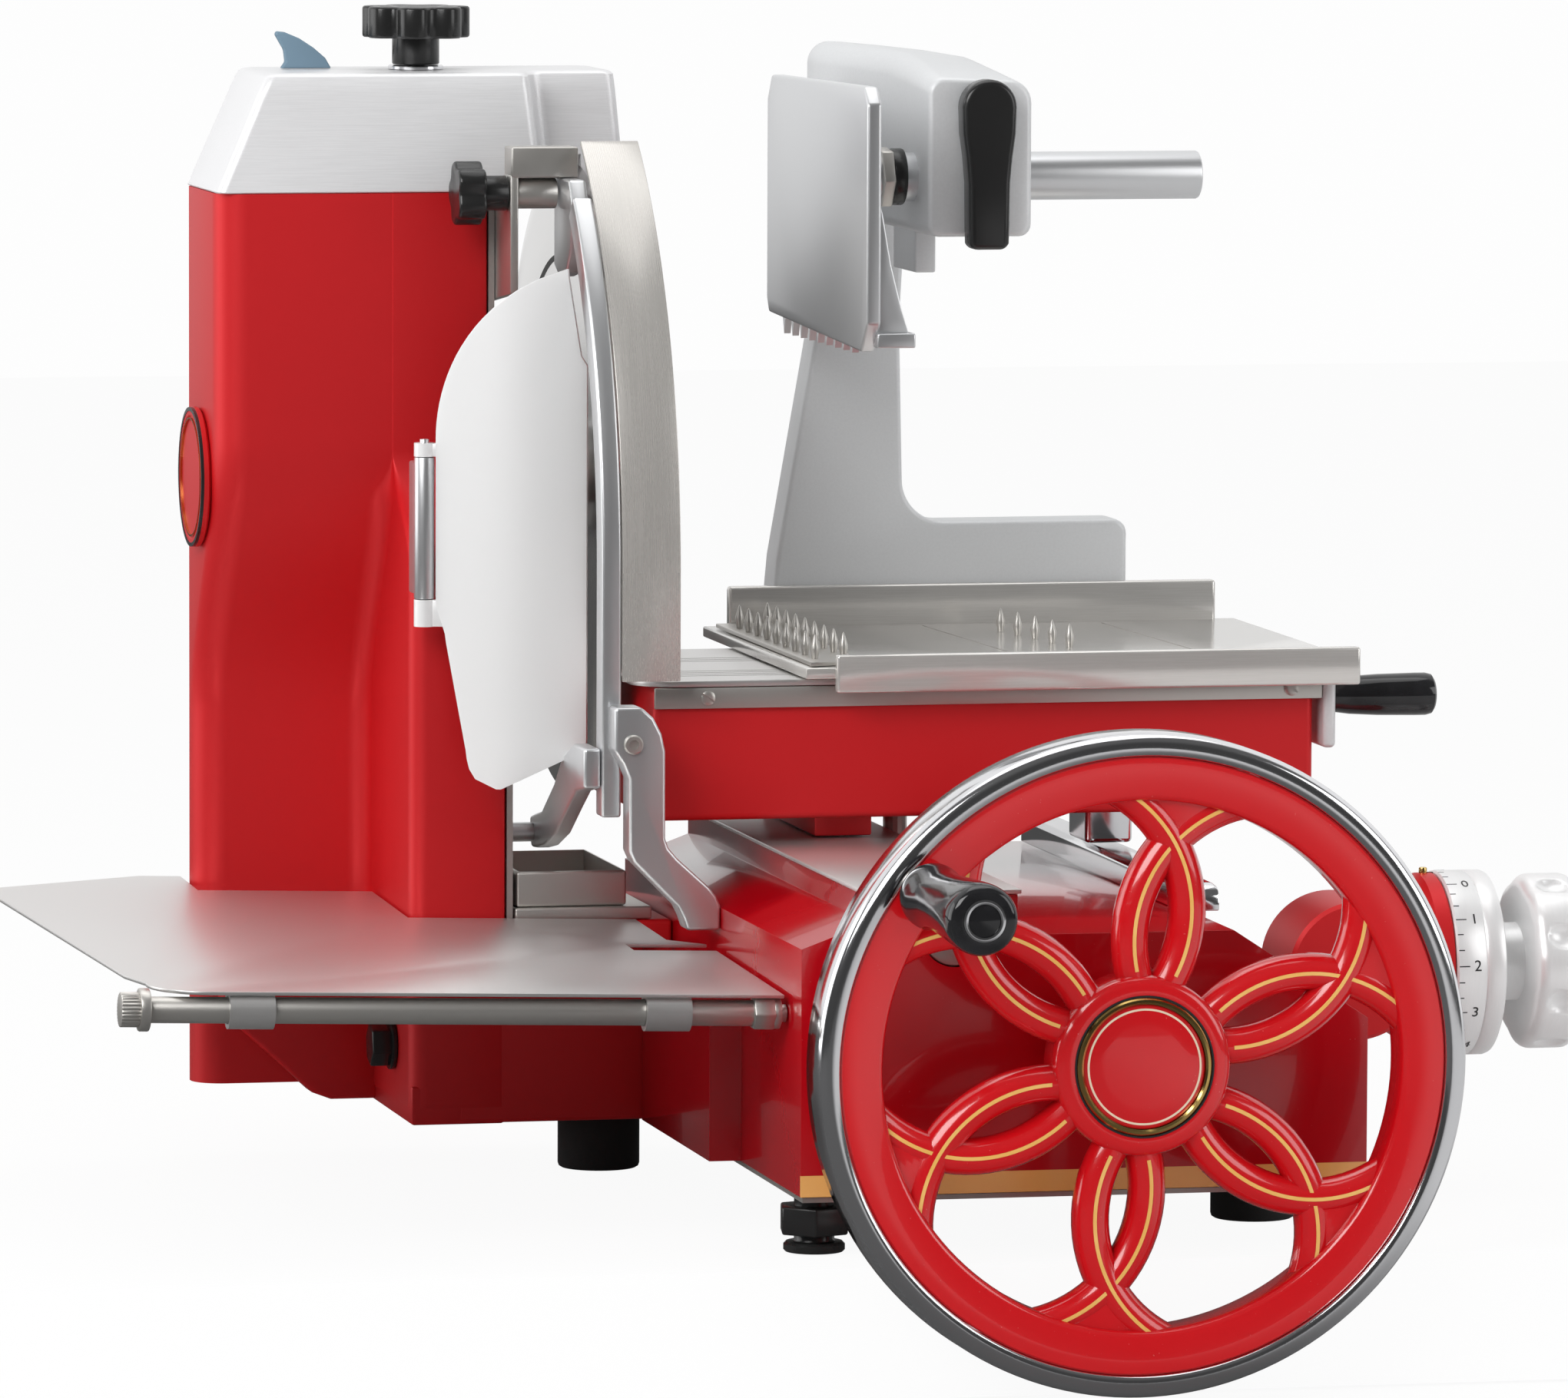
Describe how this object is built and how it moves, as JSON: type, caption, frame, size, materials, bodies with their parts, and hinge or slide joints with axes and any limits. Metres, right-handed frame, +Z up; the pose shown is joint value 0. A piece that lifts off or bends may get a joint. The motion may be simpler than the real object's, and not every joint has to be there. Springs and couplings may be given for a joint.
{
  "type": "manual food slicer",
  "caption": "Hand-cranked food slicer with a spoked flywheel, sliding meat carriage with press, round blade in an edge guard, sharpener column and slice tray.",
  "frame": {"origin": "bottom centre of the adjustable front left foot, on the bench top that the feet stand on", "axes": "+X to the operator's right along the blade's axis, +Y away from the operator along the carriage's travel and the flywheel's axis, +Z up"},
  "size_m": [0.6347, 0.6065, 0.5313],
  "materials": {
    "red_enamel": "deep red gloss enamel",
    "chrome": "polished chrome",
    "mirror_steel": "mirror-polished stainless steel",
    "brushed_steel": "brushed stainless steel",
    "satin_aluminium": "satin cast and machined aluminium",
    "white_enamel": "white satin enamel",
    "black_plastic": "black moulded plastic",
    "black_rubber": "black rubber",
    "blue_plastic": "blue-grey moulded plastic",
    "bright_steel": "bright ground steel",
    "dark_steel": "oiled dark steel and iron"
  },
  "bodies": {
    "frame": {"base_casting": "red_enamel", "base_plate": "bright_steel", "bearing_block": "dark_steel", "tunnel_cover": "mirror_steel", "guide_bar": "bright_steel", "carriage_rail": "chrome", "front_left_foot": "black_plastic", "front_right_foot": "black_rubber", "rear_left_foot": "black_rubber", "rear_right_foot": "black_rubber", "front_bearing": "dark_steel", "crank_bearing": "dark_steel", "column_casting": "red_enamel", "column_side_plate": "bright_steel", "side_badge": "red_enamel", "column_bolt": "black_plastic", "column_cap": "satin_aluminium", "sharpener_arm": "dark_steel", "blade_bearing": "satin_aluminium", "guard_band": "brushed_steel", "guard_frame": "satin_aluminium", "guard_arm": "satin_aluminium", "guard_link": "satin_aluminium", "deflector_brace": "satin_aluminium", "cover_hinge": "satin_aluminium", "slice_tray": "mirror_steel", "tray_rod": "bright_steel", "drip_shelf": "satin_aluminium", "dial_housing": "red_enamel", "drive_chain": "dark_steel"},
    "flywheel": {"flywheel_casting": "red_enamel", "flywheel_tyre": "chrome", "hub_badge": "red_enamel", "grip_pin": "bright_steel", "flywheel_shaft": "bright_steel"},
    "grip": {"grip": "black_plastic"},
    "cross_shaft": {"cross_shaft": "bright_steel"},
    "crank": {"crank_gear": "dark_steel"},
    "blade": {"blade": "mirror_steel", "blade_shaft": "bright_steel"},
    "carriage": {"carriage_casting": "red_enamel", "carriage_deck": "mirror_steel", "carriage_strip": "brushed_steel", "rail_shoe": "chrome", "drive_pin": "bright_steel"},
    "connecting_rod": {"connecting_rod": "dark_steel"},
    "push_handle": {"push_handle": "black_plastic"},
    "meat_table": {"meat_table": "mirror_steel", "spike_plate": "bright_steel", "press_arm": "satin_aluminium"},
    "press": {"press_rod": "satin_aluminium", "press_plate": "satin_aluminium"},
    "clamp_lever": {"clamp_lever": "black_plastic"},
    "thickness_control": {"thickness_dial": "satin_aluminium", "thickness_knob": "satin_aluminium"},
    "blade_cover": {"blade_cover": "white_enamel"},
    "sharpener_knob": {"sharpener_knob": "black_plastic"},
    "sharpener_lever": {"sharpener_lever": "blue_plastic"},
    "guard_knob": {"guard_knob": "black_plastic"},
    "drip_drawer": {"drip_drawer": "brushed_steel"}
  },
  "joints": [
    {"name": "flywheel_spin", "type": "hinge", "parent": "frame", "child": "flywheel", "pos_m": [0.114, 0, 0.08], "axis": [0, 1, 0], "continuous": true},
    {"name": "grip_spin", "type": "hinge", "parent": "flywheel", "child": "grip", "pos_m": [0.02635, -0.1, 0.14972], "axis": [0, 1, 0], "continuous": true},
    {"name": "cross_shaft_spin", "type": "hinge", "parent": "frame", "child": "cross_shaft", "pos_m": [0, 0.298, 0.08], "axis": [1, 0, 0], "continuous": true},
    {"name": "crank_spin", "type": "hinge", "parent": "frame", "child": "crank", "pos_m": [0.0865, 0.09, 0.1], "axis": [0, 0, 1], "continuous": true},
    {"name": "blade_spin", "type": "hinge", "parent": "frame", "child": "blade", "pos_m": [0, 0.298, 0.285], "axis": [1, 0, 0], "continuous": true},
    {"name": "carriage_slide", "type": "slide", "parent": "frame", "child": "carriage", "axis": [0, 1, 0], "range_m": [-0.116, 0.046]},
    {"name": "connecting_rod_swing", "type": "hinge", "parent": "carriage", "child": "connecting_rod", "pos_m": [0.0865, 0.235, 0.109], "axis": [0, 0, 1], "range_deg": [-81, 13.5]},
    {"name": "push_handle_tilt", "type": "hinge", "parent": "carriage", "child": "push_handle", "pos_m": [0.246, 0.172, 0.19], "axis": [1, 0, 0], "range_deg": [-35, 35]},
    {"name": "table_slide", "type": "slide", "parent": "carriage", "child": "meat_table", "axis": [1, 0, 0], "range_m": [-0.03, 0.01]},
    {"name": "press_slide", "type": "slide", "parent": "meat_table", "child": "press", "axis": [1, 0, 0], "range_m": [-0.03, 0]},
    {"name": "clamp_lever_turn", "type": "hinge", "parent": "meat_table", "child": "clamp_lever", "pos_m": [0.1205, 0.225, 0.401], "axis": [0, 1, 0], "range_deg": [-45, 45]},
    {"name": "thickness_turn", "type": "hinge", "parent": "frame", "child": "thickness_control", "pos_m": [0.2915, 0.14, 0.092], "axis": [1, 0, 0], "range_deg": [0, 300]},
    {"name": "cover_swing", "type": "hinge", "parent": "frame", "child": "blade_cover", "pos_m": [-0.117, 0.209, 0.27], "axis": [0, 0, 1], "range_deg": [-95, 0]},
    {"name": "sharpener_knob_turn", "type": "hinge", "parent": "frame", "child": "sharpener_knob", "pos_m": [-0.1035, 0.3, 0.454], "axis": [0, 0, 1], "range_deg": [-180, 180]},
    {"name": "sharpener_lever_turn", "type": "hinge", "parent": "frame", "child": "sharpener_lever", "pos_m": [-0.146, 0.31, 0.454], "axis": [0, 0, 1], "range_deg": [-30, 30]},
    {"name": "guard_knob_turn", "type": "hinge", "parent": "frame", "child": "guard_knob", "pos_m": [-0.077, 0.2385, 0.406], "axis": [1, 0, 0], "range_deg": [-180, 180]},
    {"name": "drip_drawer_slide", "type": "slide", "parent": "frame", "child": "drip_drawer", "axis": [0, -1, 0], "range_m": [0, 0.06]}
  ],
  "couplings": [
    {"joint": "cross_shaft_spin", "follows": "flywheel_spin", "ratio": -2},
    {"joint": "blade_spin", "follows": "flywheel_spin", "ratio": -2},
    {"joint": "crank_spin", "follows": "flywheel_spin", "ratio": 0.33333}
  ]
}
